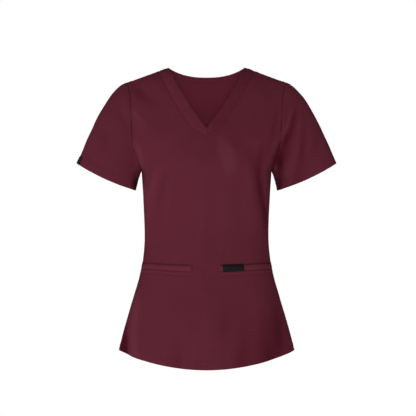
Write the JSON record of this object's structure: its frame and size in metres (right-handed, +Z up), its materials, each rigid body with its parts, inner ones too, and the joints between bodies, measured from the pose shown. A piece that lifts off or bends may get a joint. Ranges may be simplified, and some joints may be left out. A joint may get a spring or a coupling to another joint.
{
  "type": "medical scrub top",
  "caption": "Women's short-sleeved V-neck scrub top with welt hip pockets, filled out as worn, hollow, with open neck, cuffs and hem.",
  "frame": {"origin": "where the wearer's shoulders carry the top: midway between the two neck points, at their height", "axes": "+X to the wearer's left, -Y to the front, +Z up; the wearer faces -Y"},
  "size_m": [0.5874, 0.272, 0.6715],
  "materials": {
    "cloth": "matt burgundy stretch twill",
    "pocketing": "matt burgundy twill, two layers",
    "label": "black woven satin"
  },
  "bodies": {
    "root": {"front": "cloth", "back": "cloth", "neckband_left": "cloth", "neckband_right": "cloth", "back_neck_binding": "cloth", "sleeve_left": "cloth", "sleeve_right": "cloth", "pocket_welt_left": "cloth", "pocket_welt_right": "cloth", "pocket_bag_left": "pocketing", "pocket_bag_right": "pocketing", "pocket_label": "label", "sleeve_label": "label"}
  },
  "joints": []
}
